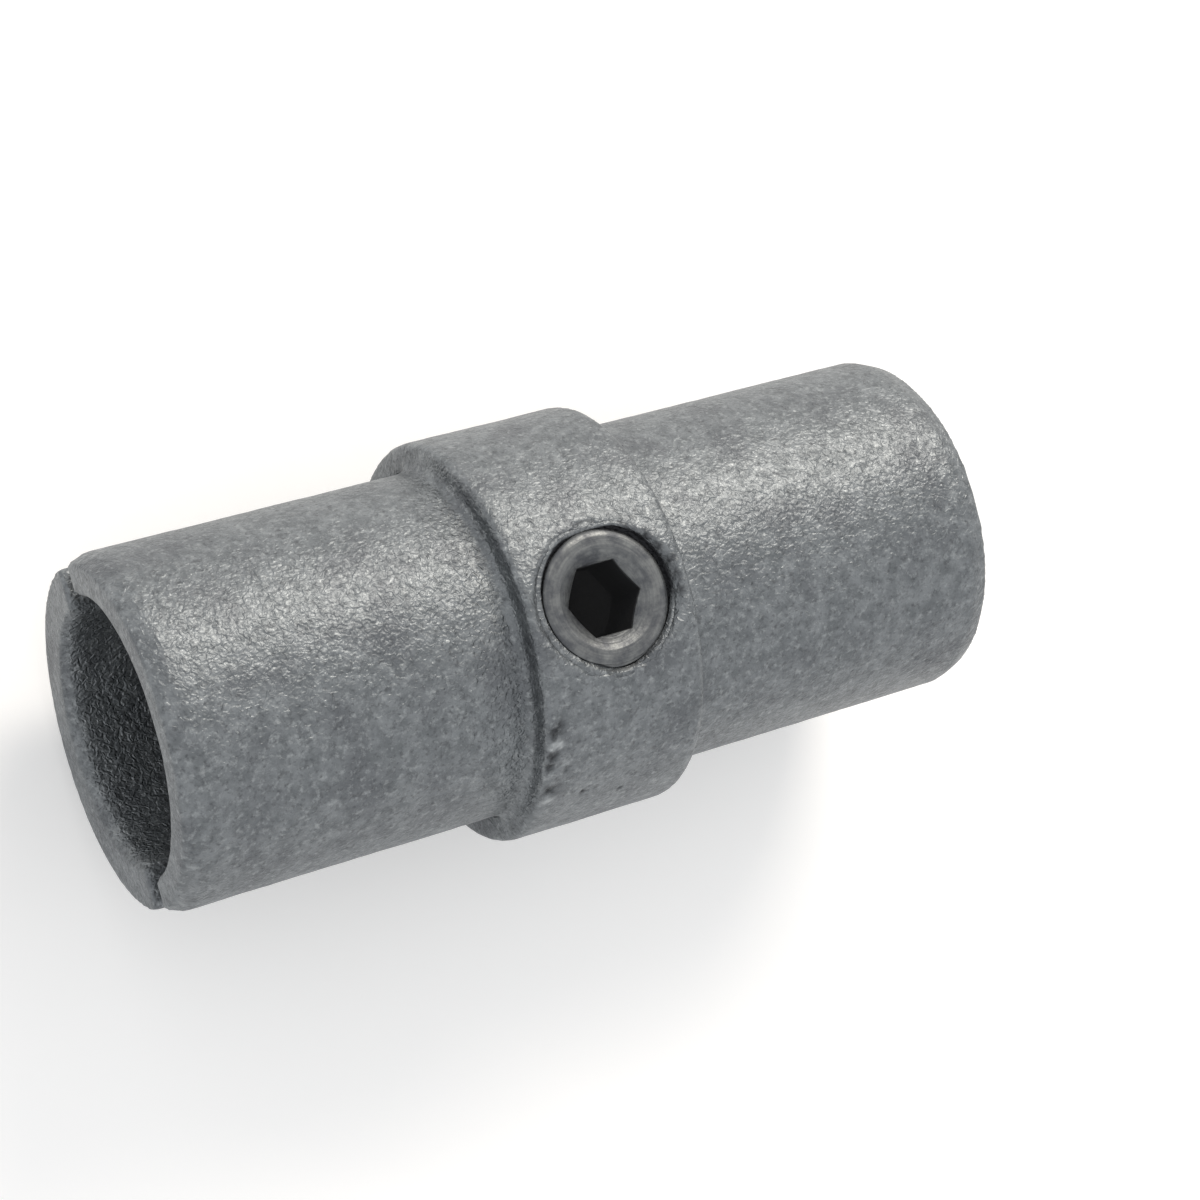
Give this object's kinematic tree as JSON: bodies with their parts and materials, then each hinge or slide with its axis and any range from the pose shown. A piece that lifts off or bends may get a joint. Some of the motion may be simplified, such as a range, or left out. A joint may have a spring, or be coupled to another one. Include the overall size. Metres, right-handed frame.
{
  "type": "expanding tube connector",
  "caption": "Cast collar with half-round jaws on each side; a socket set screw spreads them inside the tubes' bores, which joins round tubes end to end, flush.",
  "frame": {"origin": "middle of the collar, on the tubes' common axis", "axes": "+X along the tubes, +Z out of the screw's socket, so the connector lies on its collar with the screw uppermost"},
  "size_m": [0.105, 0.0482, 0.0483],
  "materials": {
    "galvanised_casting": "malleable iron as cast, hot-dip galvanised: matt, mottled and slightly rough",
    "zinc_plated_screw": "turned steel, zinc plated, dulled"
  },
  "bodies": {
    "body": {"collar_body": "galvanised_casting"},
    "expander": {"expander": "galvanised_casting"},
    "screw": {"set_screw": "zinc_plated_screw"}
  },
  "joints": [
    {"name": "expander_slide", "type": "slide", "parent": "body", "child": "expander", "axis": [0, 0, -1], "range_m": [-0.0024, 0.0006]},
    {"name": "screw_turn", "type": "hinge", "parent": "expander", "child": "screw", "pos_m": [0, 0, 0.0152], "axis": [0, 0, -1], "range_deg": [-646.3, 161.6]}
  ],
  "couplings": [
    {"joint": "screw_turn", "follows": "expander_slide", "rad_per_m": 4700}
  ]
}
